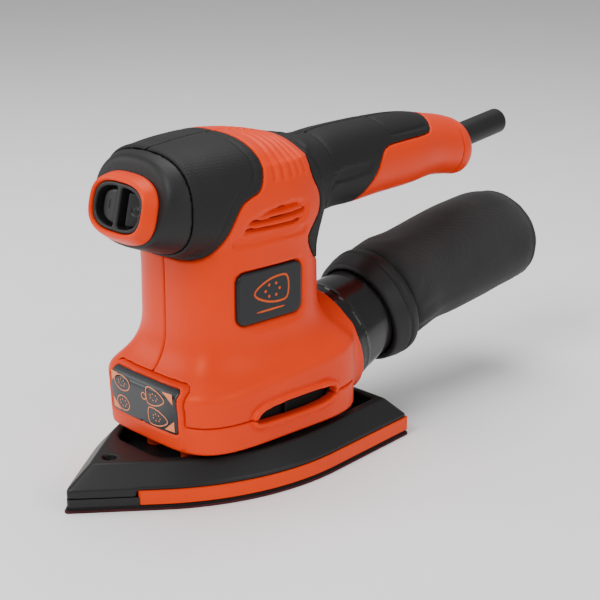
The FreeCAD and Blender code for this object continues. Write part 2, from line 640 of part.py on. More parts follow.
# eccentric: a hub on the shaft, a half-round balance weight and the offset drive pin
weight_hub = cylinder("weight_hub_solid", "Sizes.weight_hub", "Sizes.weight_tall + 4", "Sizes.weight_low")
weight_disc = cylinder("weight_disc", "Sizes.weight_radius", "Sizes.weight_tall - 2", "Sizes.weight_low")
weight_disc.setExpression("Angle", "180")
weight_way = cylinder("weight_way", "Sizes.shaft_radius", "40", "Sizes.shaft_low")
drive_pin = cylinder("drive_pin_rod", "Sizes.pin_radius", "Sizes.pin_tall", "Sizes.pin_low", "0",
                     "-Sizes.orbit_throw")
keep(cut("weight_cut", fuse("weight_parts", [weight_hub, weight_disc]), weight_way), "balance_weight")
keep(drive_pin, "drive_pin")

# field core and its two coils
keep(ring("field_core_plates", "Sizes.stator_radius", "Sizes.stator_bore", "Sizes.stator_tall",
          "Sizes.stator_low"), "field_core")
for label, low in (("field_coil_lower", "Sizes.stator_low - Sizes.coil_tall"),
                   ("field_coil_upper", "Sizes.stator_low + Sizes.stator_tall")):
    keep(ring(label + "_winding", "Sizes.coil_radius", "Sizes.coil_bore", "Sizes.coil_tall", low), label)

keep(ring("lower_bearing_race", "Sizes.lower_bearing_radius", "Sizes.shaft_radius + Sizes.running_gap",
          "Sizes.lower_bearing_tall", "Sizes.lower_bearing_low"), "lower_bearing")
keep(ring("upper_bearing_race", "Sizes.upper_bearing_radius", "Sizes.shaft_radius + Sizes.running_gap",
          "Sizes.upper_bearing_tall", "Sizes.upper_bearing_low"), "upper_bearing")

# bearing plate: a disc across the neck's foot with a cup for the lower bearing
plate_disc = cylinder("plate_disc", "Sizes.plate_radius", "Sizes.plate_thick", "Sizes.plate_low")
plate_cup = cylinder("plate_cup", "Sizes.lower_bearing_radius + 3",
                     "Sizes.lower_bearing_tall + Sizes.lower_bearing_low - Sizes.plate_low",
                     "Sizes.plate_low")
plate_seat = cylinder("plate_seat", "Sizes.lower_bearing_radius", "20", "Sizes.lower_bearing_low")
plate_way = cylinder("plate_way", "Sizes.weight_hub + 1", "20", "Sizes.plate_low - 5")
plate_block = cut("plate_bored", fuse("plate_parts", [plate_disc, plate_cup]), plate_seat)
keep(cut("plate_cut", plate_block, plate_way), "bearing_plate")
cap_block = cylinder("upper_cup", "Sizes.upper_bearing_radius + 2.5", "Sizes.upper_bearing_tall + 1.5",
                     "Sizes.upper_bearing_low")
cap_seat = cylinder("upper_seat", "Sizes.upper_bearing_radius", "Sizes.upper_bearing_tall",
                    "Sizes.upper_bearing_low")
keep(cut("upper_cap_cut", cap_block, cap_seat), "upper_bearing_cup")

# brushes press on the commutator from both sides, in brass holders with a spring behind each
brush_wide = size("brush_wide")
brush_start = size("commutator_radius") + 0.3
brush_end = brush_start + size("brush_long")
brush_z = size("brush_height")
half = brush_wide / 2
for sign, hand in ((1, "right"), (-1, "left")):
    place = Placement(Vector(0, 0, brush_z), Rotation(Vector(0, 0, 1), 0 if sign > 0 else 180))
    brush = Part.makeBox(brush_end - brush_start, brush_wide, brush_wide, Vector(brush_start, -half, -half))
    holder_start = brush_start + 2
    holder = Part.makeBox(18, brush_wide + 2, brush_wide + 2, Vector(holder_start, -half - 1, -half - 1))
    holder = holder.cut(Part.makeBox(16.8, brush_wide, brush_wide, Vector(holder_start, -half, -half)))
    coil = Part.makeCylinder(2.4, 3.6, Vector(brush_end, 0, 0), Vector(1, 0, 0))
    coil = coil.cut(Part.makeCylinder(1.7, 4, Vector(brush_end, 0, 0), Vector(1, 0, 0)))
    shaped("brush_" + hand, brush, place)
    shaped("brush_holder_" + hand, holder, place)
    shaped("brush_spring_" + hand, coil, place)

# rubber orbit posts hang from the housing's corners to the pad
posts = []
for sign_x in (-1, 1):
    for aside, back in ((13.0, -32.5), (27.0, 46.0)):
        foot = Vector(sign_x * aside, back, size("pocket_floor") + 0.6)
        posts.append(Part.makeCylinder(4.5, size("plate_low") - foot.z - 2, foot))
shaped("orbit_posts", Part.makeCompound(posts))
shaped("capacitor", Part.makeBox(16, 10, 12, Vector(-8, 70, 130)))

# ---------------------------------------------------------------- check and write

doc.recompute()
for obj in doc.Objects:
    if "Invalid" in obj.State or "Error" in obj.State:
        raise RuntimeError("failed object " + obj.Name)
os.makedirs("parts", exist_ok=True)
for label, obj in parts.items():
    shape = obj.Shape
    if shape.isNull() or not shape.isValid():
        raise RuntimeError("bad shape in " + label)
    shape.exportStep("parts/%s.step" % label)
    print("%-20s solids %d  volume %9.1f" % (label, len(shape.Solids), shape.Volume))
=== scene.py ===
import json
import math
import bpy
import numpy as np
from mathutils import Euler, Matrix, Vector


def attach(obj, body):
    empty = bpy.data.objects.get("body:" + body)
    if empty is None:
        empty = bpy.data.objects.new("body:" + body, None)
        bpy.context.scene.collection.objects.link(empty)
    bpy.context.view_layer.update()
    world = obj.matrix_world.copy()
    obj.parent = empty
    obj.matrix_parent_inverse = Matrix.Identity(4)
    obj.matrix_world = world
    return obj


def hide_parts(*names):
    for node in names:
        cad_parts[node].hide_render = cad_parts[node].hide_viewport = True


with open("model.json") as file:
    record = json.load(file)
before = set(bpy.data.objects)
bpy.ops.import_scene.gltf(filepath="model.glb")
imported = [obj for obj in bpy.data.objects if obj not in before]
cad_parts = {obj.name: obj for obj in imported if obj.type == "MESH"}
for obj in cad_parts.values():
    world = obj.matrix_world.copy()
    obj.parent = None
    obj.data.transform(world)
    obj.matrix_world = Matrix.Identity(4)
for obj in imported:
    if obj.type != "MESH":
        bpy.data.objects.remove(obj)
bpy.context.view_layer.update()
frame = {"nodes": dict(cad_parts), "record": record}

# Corded detail sander. Sizes are in millimetres in the part's own frame (point towards -Y, +Z up)
# and become metres when a mesh is made.
MM = 0.001
GRID = 0.7
FINE_GRID = 0.4
FILM_GRID = 0.45
PAD_GRID = 0.65
TUBE_GRID = 0.7

# ---------------------------------------------------------------- camera and light

CAMERA_AZIMUTH = math.radians(46.5)
CAMERA_RISE = math.radians(18.0)
CAMERA_PLACE = (0.51545, -0.43727, 0.30031)
camera_data = bpy.data.cameras.new("camera")
camera_data.lens = 88.2
camera_data.sensor_width = 36.0
camera_data.clip_start = 0.01
camera = bpy.data.objects.new("camera", camera_data)
camera.location = CAMERA_PLACE
camera.rotation_euler = Euler((math.pi / 2 - CAMERA_RISE, 0, CAMERA_AZIMUTH))
bpy.context.collection.objects.link(camera)
bpy.context.scene.camera = camera


MIDDLE = (0.0, 0.04, 0.08)


def soft_light(name, place, size, power):
    """A round lamp of a given size in metres and power in watts that faces the tool's middle."""
    data = bpy.data.lights.new(name, "AREA")
    data.shape = "DISK"
    data.size = size
    data.energy = power
    lamp = bpy.data.objects.new(name, data)
    lamp.location = place
    lamp.rotation_euler = (Vector(MIDDLE) - Vector(place)).to_track_quat("-Z", "Y").to_euler()
    bpy.context.collection.objects.link(lamp)


soft_light("key_light", (0.15, -0.95, 1.0), 0.6, 11)
soft_light("top_light", (-0.2, 0.2, 1.2), 0.9, 10)
soft_light("left_light", (-0.9, -0.7, 0.5), 0.6, 4)
soft_light("right_light", (1.1, 0.2, 0.6), 0.8, 4)

world = bpy.data.worlds.new("studio")
world.use_nodes = True
background = world.node_tree.nodes["Background"]
background.inputs["Color"].default_value = (1, 1, 1, 1)
background.inputs["Strength"].default_value = 0.42
bpy.context.scene.world = world

# ---------------------------------------------------------------- materials

ORANGE = (0.78, 0.036, 0.001)
WARM_GLOSS = (1.0, 0.45, 0.25, 1.0)


def add_bump(mat, texture, strength, distance):
    """Height from a texture node over the surface, on top of any bump already there."""
    nodes = mat.node_tree.nodes
    links = mat.node_tree.links
    shader = nodes["Principled BSDF"]
    bump = nodes.new("ShaderNodeBump")
    bump.inputs["Strength"].default_value = strength
    bump.inputs["Distance"].default_value = distance
    links.new(texture, bump.inputs["Height"])
    for link in list(shader.inputs["Normal"].links):
        links.new(link.from_socket, bump.inputs["Normal"])
    links.new(bump.outputs["Normal"], shader.inputs["Normal"])


def material(name, colour, roughness, spread=0.06, grain=0.0, grain_scale=900.0, patches=14.0, **sockets):
    """Colour that drifts a little over the surface, with a fine grain in its height."""
    mat = bpy.data.materials.new(name)
    mat.use_nodes = True
    nodes = mat.node_tree.nodes
    links = mat.node_tree.links
    shader = nodes["Principled BSDF"]
    shader.inputs["Roughness"].default_value = roughness
    for socket, value in sockets.items():
        shader.inputs[socket.replace("_", " ")].default_value = value
    where = nodes.new("ShaderNodeTexCoord")
    drift = nodes.new("ShaderNodeTexNoise")
    drift.inputs["Scale"].default_value = patches
    drift.inputs["Detail"].default_value = 4
    links.new(where.outputs["Object"], drift.inputs["Vector"])
    ramp = nodes.new("ShaderNodeValToRGB")
    for stop, (at, factor) in enumerate(((0.35, 1 - spread), (0.65, 1 + spread))):
        ramp.color_ramp.elements[stop].position = at
        ramp.color_ramp.elements[stop].color = [min(1, c * factor) for c in colour] + [1]
    links.new(drift.outputs["Fac"], ramp.inputs["Fac"])
    links.new(ramp.outputs["Color"], shader.inputs["Base Color"])
    if grain:
        fine = nodes.new("ShaderNodeTexNoise")
        fine.inputs["Scale"].default_value = grain_scale
        fine.inputs["Detail"].default_value = 3
        links.new(where.outputs["Object"], fine.inputs["Vector"])
        add_bump(mat, fine.outputs["Fac"], grain, 0.0003)
    return mat


def knurled(mat, cell, strength):
    """Small raised pips all over, as moulded into a soft grip; cell is their spacing in metres."""
    nodes = mat.node_tree.nodes
    pips = nodes.new("ShaderNodeTexVoronoi")
    pips.inputs["Scale"].default_value = 1 / cell
    pips.inputs["Randomness"].default_value = 0.35
    mat.node_tree.links.new(nodes["Texture Coordinate"].outputs["Object"], pips.inputs["Vector"])
    add_bump(mat, pips.outputs["Distance"], strength, 0.0004)
    return mat


def woven(mat, pitch, strength):
    """Two sets of threads that cross; pitch is their spacing in metres."""
    nodes = mat.node_tree.nodes
    links = mat.node_tree.links
    for turn in (0.7, -0.7):
        mapping = nodes.new("ShaderNodeMapping")
        mapping.inputs["Rotation"].default_value = (turn, 0.5 * turn, turn)
        links.new(nodes["Texture Coordinate"].outputs["Object"], mapping.inputs["Vector"])
        threads = nodes.new("ShaderNodeTexWave")
        threads.inputs["Scale"].default_value = 0.314 / pitch
        threads.inputs["Distortion"].default_value = 0.6
        threads.inputs["Detail Scale"].default_value = 4
        links.new(mapping.outputs["Vector"], threads.inputs["Vector"])
        add_bump(mat, threads.outputs["Fac"], strength, 0.0005)
    return mat


def black(name, colour, roughness, **more):
    return material(name, colour, roughness, Specular_IOR_Level=0.3, **more)


def metal(name, colour, roughness, **more):
    return material(name, colour, roughness, Metallic=1.0, **more)


def orange(name, colour, roughness, **more):
    return material(name, colour, roughness, Specular_IOR_Level=0.35, Specular_Tint=WARM_GLOSS, **more)


orange_plastic = orange("orange_plastic", ORANGE, 0.4, spread=0.04, grain=0.12, grain_scale=1400)
orange_band = orange("orange_band", (0.78, 0.045, 0.001), 0.5, grain=0.2, grain_scale=900)
soft_black = black("soft_black_rubber", (0.0105, 0.0105, 0.011), 0.5, spread=0.1, grain=0.3, grain_scale=1500)
grip_black = knurled(black("grip_black_rubber", (0.007, 0.007, 0.0073), 0.6, spread=0.12), 0.0011, 0.4)
black_plastic = black("black_plastic", (0.012, 0.012, 0.0125), 0.42, grain=0.15, grain_scale=1200)
gloss_black = black("glossy_black_plastic", (0.010, 0.010, 0.011), 0.22, grain=0.05, Coat_Weight=0.2)
# painted shade: a near-black finish, darker than any plastic here, that stands for the shade deep inside the
# side slot
painted_shade_inside = black("painted_shade_inside", (0.004, 0.004, 0.004), 0.8, grain=0.2)
label_grey = material("label_film", (0.016, 0.020, 0.023), 0.35, grain=0.05)
label_ink = orange("label_ink", (0.85, 0.26, 0.11), 0.45)
badge_ink = orange("badge_ink", (0.62, 0.085, 0.012), 0.45)
badge_black = black("badge_plate", (0.010, 0.011, 0.013), 0.35, grain=0.05)
steel = metal("steel", (0.55, 0.56, 0.57), 0.3, grain=0.15)
zinc = metal("zinc_casting", (0.42, 0.42, 0.41), 0.45, grain=0.3)
copper = metal("copper_winding", (0.40, 0.13, 0.05), 0.4, grain=0.5, grain_scale=2200)
laminated = metal("laminated_iron", (0.2, 0.2, 0.21), 0.5, grain=0.6, grain_scale=2600)
carbon = black("carbon", (0.02, 0.02, 0.022), 0.7, grain=0.4)
amber = material("capacitor_case", (0.5, 0.3, 0.02), 0.35, grain=0.1)
loops = black("hook_layer", (0.012, 0.009, 0.009), 0.95, grain=1.0, grain_scale=1800)
grit = black("abrasive_paper", (0.060, 0.010, 0.012), 0.85, spread=0.25, grain=1.0, grain_scale=2500,
             patches=60)
cloth = woven(black("bag_fabric", (0.020, 0.020, 0.0205), 0.85, spread=0.12, patches=40, Sheen_Weight=0.1,
                    Sheen_Roughness=0.5), 0.001, 0.14)

# each CAD node's finish by its material slot, then the few that differ from their slot
FINISHES = {
    "orange_plastic": orange_plastic, "black_rubber": soft_black, "black_plastic": black_plastic,
    "label_print": label_grey, "badge_plate": badge_black, "plated_steel": steel, "bearing_steel": steel,
    "core_steel": laminated, "copper": copper, "cast_zinc": zinc, "frame_plastic": black_plastic,
    "carbon": carbon, "capacitor_case": amber, "hook_fabric": loops, "abrasive": grit, "bag_fabric": cloth,
}
for subpart in frame["record"]["subparts"]:
    carried = frame["nodes"][subpart["node"]].data
    carried.materials.clear()
    carried.materials.append(FINISHES[subpart["material_slot"]])
# the band and posts take the band's orange; the slot baffles take the painted shade of the slot's inside
# instead of their slot's finish
for node, finish in (("pad_band", orange_band), ("orbit_posts", orange_band),
                     ("slot_baffle_right", painted_shade_inside), ("slot_baffle_left", painted_shade_inside)):
    frame["nodes"][node].data.materials[0] = finish

# ---------------------------------------------------------------- distance fields

def smooth_min(a, b, reach):
    """The smaller of two fields, blended over reach: a fillet between two bodies."""
    share = np.clip(0.5 + 0.5 * (b - a) / reach, 0, 1)
    return b * (1 - share) + a * share - reach * share * (1 - share)


def smooth_max(a, b, reach):
    return -smooth_min(-a, -b, reach)


def evened(field, step):
    """A field divided by its own slope, so that it reads as a distance near its surface."""
    slope = sum(part * part for part in np.gradient(field, step)) ** 0.5
    return field / np.maximum(slope, 0.15)


def smooth_rows(rows, at):
    """Columns of a table, read at given values of its first column, on smooth curves."""
    rows = np.array(rows, dtype=float)
    knots = rows[:, 0]
    slopes = np.gradient(rows[:, 1:], knots, axis=0)
    at = np.clip(at, knots[0], knots[-1])
    i = np.clip(np.searchsorted(knots, at) - 1, 0, len(knots) - 2)
    span = knots[i + 1] - knots[i]
    t = (at - knots[i]) / span
    low = rows[i, 1:].T
    high = rows[i + 1, 1:].T
    rise = slopes[i].T * span
    fall = slopes[i + 1].T * span
    return ((2 * t**3 - 3 * t**2 + 1) * low + (t**3 - 2 * t**2 + t) * rise
            + (3 * t**2 - 2 * t**3) * high + (t**3 - t**2) * fall)


def oval(u, v, half_u, half_v, power):
    """Below zero inside a superellipse; evened() makes it a distance."""
    reach = (np.abs(u / half_u) ** power + np.abs(v / half_v) ** power) ** (1 / power)
    return (reach - 1) * np.minimum(half_u, half_v)


def rounded_box(u, v, half_u, half_v, radius):
    """Distance from a rectangle with round corners."""
    a = np.abs(u) - (half_u - radius)
    b = np.abs(v) - (half_v - radius)
    return np.hypot(np.maximum(a, 0), np.maximum(b, 0)) + np.minimum(np.maximum(a, b), 0) - radius


def rounded_loop(points, per_corner=6):
    """A closed outline whose corners are rounded off."""
    ends = np.array(points, dtype=float)
    before = (ends + np.roll(ends, 1, axis=0)) / 2
    after = (ends + np.roll(ends, -1, axis=0)) / 2
    loop = []
    for a, b, c in zip(before, ends, after):
        for step in range(per_corner):
            t = step / per_corner
            loop.append((1 - t) ** 2 * a + 2 * t * (1 - t) * b + t * t * c)
    return np.array(loop)


def from_line(u, v, points, closed=False):
    """Distance in a plane from a run of straight lines, below zero inside a closed one."""
    ends = np.array(points, dtype=float)
    nearest = np.full(np.broadcast(u, v).shape, 1e9)
    inside = np.zeros(nearest.shape, dtype=bool)
    pairs = zip(ends, np.roll(ends, -1, axis=0)) if closed else zip(ends[:-1], ends[1:])
    for (au, av), (bu, bv) in pairs:
        du = bu - au
        dv = bv - av
        t = np.clip(((u - au) * du + (v - av) * dv) / (du * du + dv * dv + 1e-12), 0, 1)
        nearest = np.minimum(nearest, np.hypot(u - au - t * du, v - av - t * dv))
        if closed:
            crosses = (av > v) != (bv > v)
            if bv != av:
                inside ^= crosses & (u < au + (v - av) * du / (bv - av))
    return np.where(inside, -nearest, nearest)


class Space:
    """A block of regular points, with its X, Y and Z ready to broadcast."""

    def __init__(self, low, high, step):
        self.low = np.array(low, dtype=float)
        self.step = step
        x, y, z = [np.arange(a, b + step, step) for a, b in zip(low, high)]
        self.x = x[:, None, None]
        self.y = y[None, :, None]
        self.z = z[None, None, :]
        self.shape = (len(x), len(y), len(z))

    def full(self, field):
        return np.broadcast_to(field, self.shape)


CORNERS = [(i, j, k) for i in (0, 1) for j in (0, 1) for k in (0, 1)]


def surface_net(field, low, step):
    """Points and quads of the surface where a field passes through zero."""
    inside = field < 0
    cells = tuple(n - 1 for n in field.shape)
    count = np.zeros(cells, dtype=np.int8)
    for i, j, k in CORNERS:
        count += inside[i:i + cells[0], j:j + cells[1], k:k + cells[2]]
    active = (count > 0) & (count < 8)
    where = np.argwhere(active)
    index = np.full(cells, -1, dtype=np.int64)
    index[active] = np.arange(len(where))
    total = np.zeros((len(where), 3))
    hits = np.zeros(len(where))
    for axis in range(3):
        along = np.eye(3, dtype=int)[axis]
        for offset in CORNERS:
            if offset[axis]:
                continue
            start = where + np.array(offset)
            end = start + along
            a = field[tuple(start.T)]
            b = field[tuple(end.T)]
            crossing = (a < 0) != (b < 0)
            share = np.where(crossing, a / np.where(crossing, a - b, 1), 0)
            total[crossing] += (start + share[:, None] * along)[crossing]
            hits[crossing] += 1
    points = np.array(low) + step * total / hits[:, None]
    quads = []
    for axis in range(3):
        along = np.eye(3, dtype=int)[axis]
        u = np.eye(3, dtype=int)[(axis + 1) % 3]
        v = np.eye(3, dtype=int)[(axis + 2) % 3]
        first = [slice(1, -1)] * 3
        second = [slice(1, -1)] * 3
        first[axis] = slice(0, -1)
        second[axis] = slice(1, None)
        change = inside[tuple(first)] != inside[tuple(second)]
        start = np.argwhere(change) + (1 - along)
        quad = np.stack([index[tuple((start - back).T)] for back in (u + v, v, 0 * u, u)], axis=1)
        outward = inside[tuple(start.T)]
        quads.append(np.where(outward[:, None], quad, quad[:, ::-1]))
    return points, np.concatenate(quads)


def relaxed(points, quads, rounds=2):
    """Points drawn half way to the middle of their neighbours, which takes out the grid's ripple."""
    a = np.concatenate([quads[:, i] for i in range(4)])
    b = np.concatenate([quads[:, (i + 1) % 4] for i in range(4)])
    ends = np.concatenate([a, b])
    others = np.concatenate([b, a])
    degree = np.maximum(np.bincount(ends, minlength=len(points)), 1)[:, None]
    for _ in range(rounds):
        around = np.stack([np.bincount(ends, points[others, i], len(points)) for i in range(3)], axis=1)
        points = points + 0.5 * (around / degree - points)
    return points


# ---------------------------------------------------------------- making pieces

def add_mesh(name, points, faces, mat, body="root", replaces=(), smooth=True):
    """A mesh object from points in millimetres, riding on a body, with the given finish, and the nodes it
    replaces hidden.
    """
    mesh = bpy.data.meshes.new(name)
    corners = faces.tolist() if isinstance(faces, np.ndarray) else faces
    mesh.from_pydata((np.asarray(points) * MM).tolist(), [], corners)
    mesh.update()
    if smooth:
        mesh.polygons.foreach_set("use_smooth", [True] * len(mesh.polygons))
    piece = bpy.data.objects.new(name, mesh)
    bpy.context.collection.objects.link(piece)
    mesh.materials.append(mat)
    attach(piece, body)
    if replaces:
        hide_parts(*replaces)
    return piece


def carve(name, space, field, mat, body="root", replaces=(), place=None, flip=False, whole=False, rounds=2):
    """A piece from a distance field. flip mirrors a right half to the left side; whole adds that half."""
    field = space.full(field)
    low = space.low.copy()
    if whole:
        low[0] = -space.step * (field.shape[0] - 1)
        field = np.concatenate([field[:0:-1], field])
    points, quads = surface_net(np.pad(field, 1, constant_values=1.0), low - space.step, space.step)
    points = relaxed(points, quads, rounds)
    if flip:
        points = points * (-1, 1, 1)
        quads = quads[:, ::-1]
    if place is not None:
        points = points @ np.array(place.to_3x3()).T + np.array(place.translation)
    return add_mesh(name, points, quads, mat, body, replaces)


# ---------------------------------------------------------------- housing surfaces

WALL = 4.2
SKIN = 2.2
GAP = 0.18
SKIRT_LOW = 23.0
SKIRT_BACK = 62
SKIRT_HALF_WIDE = 43.4
SKIRT_SQUARENESS = 4.2
PARTING = 36.3
RING_BACK = 52
RIM_PROUD = 2.0
PANEL_PROUD = 1.3
PANEL_REACH = -38
SLOT_REACH = 30
BADGE_FACE = 33.6
BADGE_CENTRE = (1.2, 91.9)
LABEL_CENTRE = 42.9

# neck: height, half width, front, rear, squareness
NECK = [(40, 34.6, -35.3, 45.4, 3.0), (75, 34.6, -35.3, 45.4, 3.0), (100, 34.5, -35.0, 45.0, 3.0),
        (130, 34.8, -35.0, 43.5, 3.0), (150, 31.0, -31.0, 36.0, 2.8)]
# head and handle: distance back, height of the middle, half width, half height, squareness
ARM = [(-66, 136.2, 18.0, 13.0, 2.4), (-59, 136.4, 23.0, 17.0, 2.4), (-54.5, 137.0, 26.4, 19.4, 2.4),
       (-50, 137.4, 29.4, 21.6, 2.4), (-43, 137.6, 32.4, 24.0, 2.5), (-33, 137.4, 34.8, 26.0, 2.5),
       (-18, 136.8, 36.3, 27.8, 2.6), (0, 136.0, 36.8, 28.8, 2.6), (18, 134.5, 35.4, 28.0, 2.5),
       (34, 134.0, 31.0, 24.6, 2.3), (48, 134.6, 25.0, 21.2, 2.1), (64, 136.4, 21.0, 20.8, 2.0),
       (80, 136.8, 20.4, 21.0, 2.0), (97, 137.5, 20.0, 20.5, 2.0), (125, 137.6, 19.0, 19.2, 2.0),
       (143, 136.8, 16.6, 16.8, 2.0), (157, 134.6, 15.7, 16.0, 2.0), (165, 132.6, 14.6, 15.0, 2.0),
       (171, 131.4, 11.0, 11.6, 2.0)]
NOSE_TILT = math.radians(13.3)
NOSE_ORIGIN = (0, -61.0, 138.0)
PORT_RISE = math.radians(15.0)
PORT_ORIGIN = (0, 67.0, 46.0)
GUARD_RISE = math.radians(7.9)
GUARD_ORIGIN = (0, 160.0, 135.4)

# soft overmoulds in side view, as (back, height) corners
NOSE_LOOP = rounded_loop([(-3, 180), (-3.5, 162), (-2, 155), (-4.3, 147), (-7, 142), (-13.2, 140.2),
                          (-17.8, 137.7), (-22, 130.5), (-24.8, 122), (-27.8, 115.6), (-32, 111.6),
                          (-36.5, 109.5), (-60, 100), (-95, 100), (-95, 180)])
REAR_LOOP = rounded_loop([(30, 180), (29.3, 150), (28.7, 142.7), (32.6, 137.1), (34.2, 131.3), (33.2, 126.1),
                          (30, 121.9), (26.4, 118.3), (25, 114), (28.4, 107.5), (36, 99), (72, 98), (79, 118),
                          (84.4, 129), (88, 135.3), (90.2, 140.7), (93.2, 144.4), (99, 146), (126, 146.6),
                          (131.3, 147.3), (133.6, 150), (137, 156), (136, 180)])
CAP_START = 158.5
END_THICK = 5.2
NOSE_STEP = -43.0
# housing screws: distance back, height, how far out their heads sit
SCREWS = [(-27.0, 152.0, 21.0), (24.0, 153.0, 16.0), (46.0, 126.0, 15.0), (100.0, 123.0, 8.0),
          (148.0, 126.0, 7.0), (-41.5, 44.0, 27.0)]


def along_axis(space, origin, rise):
    """Distance along a sloping axis that runs back and up, and the height across it."""
    back = space.y - origin[1]
    up = space.z - origin[2]
    return back * math.cos(rise) + up * math.sin(rise), up * math.cos(rise) - back * math.sin(rise)


def skirt_front(height):
    """How far ahead the skirt's wall is on the centre plane; it leans out as it rises."""
    return -48.3 - 0.065 * (height - 23)


def body_surface(space):
    """The whole outer surface of the moulded body, before anything is cut into it, and the skirt's wall."""
    x, y, z = space.x, space.y, space.z
    front = skirt_front(np.clip(z, 23, 50))
    middle = (SKIRT_BACK + front) / 2
    half_long = (SKIRT_BACK - front) / 2
    wall = evened(space.full(oval(x, y - middle, SKIRT_HALF_WIDE, half_long, SKIRT_SQUARENESS)), space.step)
    crease = 51.3 + 0.068 * (y + 30)
    top = (z - crease + 0.85 * np.minimum(wall, 0)) / math.hypot(1, 0.85)
    skirt = smooth_max(wall, top, 2.4)
    a, front, rear, power = smooth_rows(NECK, z.ravel())[:, None, None, :]
    neck = evened(space.full(oval(x, y - (front + rear) / 2, a, (rear - front) / 2, power)), space.step)
    neck = np.maximum(neck, np.maximum(z - 150, 40 - z))
    centre, a, b, power = smooth_rows(ARM, y.ravel())[:, None, :, None]
    arm = evened(space.full(oval(x, z - centre, a, b, power)), space.step)
    nose = -(y - NOSE_ORIGIN[1]) * math.cos(NOSE_TILT) + (z - NOSE_ORIGIN[2]) * math.sin(NOSE_TILT) + 6.0
    arm = smooth_max(smooth_max(arm, nose, 2.0), y - 171.5, 5.0)
    whole = smooth_min(skirt, neck, 9.0)
    blend = np.clip(3.0 + (y + 15) * 0.16, 3.0, 11.0)
    whole = smooth_min(whole, arm, blend)
    along, high = along_axis(space, PORT_ORIGIN, PORT_RISE)
    boss = smooth_max(np.hypot(x, high) - 30.8, np.maximum(along, -along - 30), 1.2)
    whole = smooth_min(whole, boss, 6.0)
    return smooth_max(whole, SKIRT_LOW - z, 1.0), wall


def side_slot(space):
    """Side-view distance from the slot in the skirt."""
    corners = [(-17.6, 35.9), (-12.9, 41.4), (33.0, 41.7), (34.6, 37.8), (29.8, 33.2), (-16.0, 33.8)]
    return from_line(space.y, space.z, rounded_loop(corners, 4), closed=True)


def badge_outline(y, z):
    return rounded_box(y - BADGE_CENTRE[0], z - BADGE_CENTRE[1], 20.0, 12.7, 4.6)


def panel_outline(x, z):
    """The raised panel round the front label."""
    return rounded_box(x, z - 39.6, 27.4, 15.6, 3.2)


def shell_fields():
    """Fields of the body, worked out on the right half."""
    space = Space((0, -72, 21), (46, 174, 168), GRID)
    x, y, z = space.x, space.y, space.z
    body, wall = body_surface(space)
    smooth_body = body.copy()
    # a raised panel for the label, and a rim round the side slot with a groove at its foot
    panel = np.maximum(panel_outline(x, z), y - PANEL_REACH)
    body = smooth_min(body, smooth_max(body - PANEL_PROUD, panel, 0.8), 0.5)
    slot = side_slot(space)
    rim = smooth_max(body - RIM_PROUD, slot - 2.6, 0.5)
    body = smooth_min(body, np.maximum(rim, SLOT_REACH - x), 0.3)
    foot = np.maximum(np.abs(slot - 3.3) - 0.5, SLOT_REACH - x)
    body = smooth_max(body, -np.maximum(foot, -(body + 0.6)), 0.2)
    # grooves that fan over the top band
    for back in (3.0, 8.6, 14.0, 19.0, 24.0):
        lean = back - 0.10 * (z - 146) * (back - 12) / 12
        groove = np.hypot(np.maximum(np.abs(y - lean) - 0.25, 0), np.minimum(body, 0)) - 0.95
        ends = np.maximum(145.8 - z, 0)
        body = smooth_max(body, -(groove + ends), 0.15)
    # a pocket for the flat badge, wider behind and below it
    badge = badge_outline(y, z)
    surround = rounded_box(y - 3.0, z - 90.4, 22.6, 15.2, 6.0)
    slope = BADGE_FACE - 1.2 - x + 0.5 * np.maximum(badge, 0)
    body = smooth_max(body, -np.maximum(surround, slope), 1.0)
    body = smooth_max(body, -np.maximum(badge - 0.35, BADGE_FACE - 2.4 - x), 0.4)
    # louvres: slats that slope out and down in a recess
    corners = [(-12.5, 133.2), (24.6, 136.6), (21.4, 120.6), (-19.2, 120.4)]
    louvre = from_line(y, z, rounded_loop(corners, 4), True)
    dish = np.maximum(louvre, -(smooth_body + 1.0))
    body = smooth_max(body, -dish, 0.6)
    slats = 1e9
    for middle, slope in ((131.2, 0.045), (127.1, 0.038), (123.0, 0.03)):
        plate = np.abs(z - middle - slope * y + 0.75 * (x - 34.0)) * 0.8 - 0.85
        slats = np.minimum(slats, plate)
    through = np.maximum(np.maximum(louvre + 1.6, -slats), 20 - x)
    body = smooth_max(body, -through, 0.4)
    # a shallow sill under the louvre
    sill = from_line(y, z, [(-18.5, 119.4), (20.5, 120.0)]) - 1.9
    body = smooth_max(body, -np.maximum(sill, -(smooth_body + 1.0)), 1.2)
    # the shell's inside, the slot and the dust outlet
    inside = np.minimum(smooth_body + WALL, np.maximum(wall + WALL, z - 30))
    shell = np.maximum(body, -inside)
    shell = smooth_max(shell, -np.maximum(slot, SLOT_REACH - x), 0.5)
    along, high = along_axis(space, PORT_ORIGIN, PORT_RISE)
    outlet = np.maximum(np.hypot(x, high) - 28.2, -along - 46)
    shell = smooth_max(shell, -np.maximum(outlet, 21 - z), 0.5)
    shell = np.maximum(shell, SKIRT_LOW - z)
    along, high = along_axis(space, GUARD_ORIGIN, GUARD_RISE)
    guard_way = np.maximum(np.hypot(x, high) - 7.0, -along)
    return space, smooth_body, shell, guard_way


def skin_regions(space):
    """Side-view distances from the nose and rear overmoulds and the handle's end cap."""
    nose = from_line(space.y, space.z, NOSE_LOOP, closed=True)
    rear = from_line(space.y, space.z, REAR_LOOP, closed=True)
    cap = CAP_START - space.y
    return nose, rear, np.maximum(cap, 90 - space.z)


def screw_wells(space):
    """Wells for the housing screws and the posts round them; only the mirrored left half has them."""
    wells = 1e9
    posts = 1e9
    for back, height, seat in SCREWS:
        off_axis = np.hypot(space.y - back, space.z - height)
        wells = np.minimum(wells, np.maximum(off_axis - 3.6, seat - space.x))
        posts = np.minimum(posts, off_axis - 5.4)
    return wells, posts


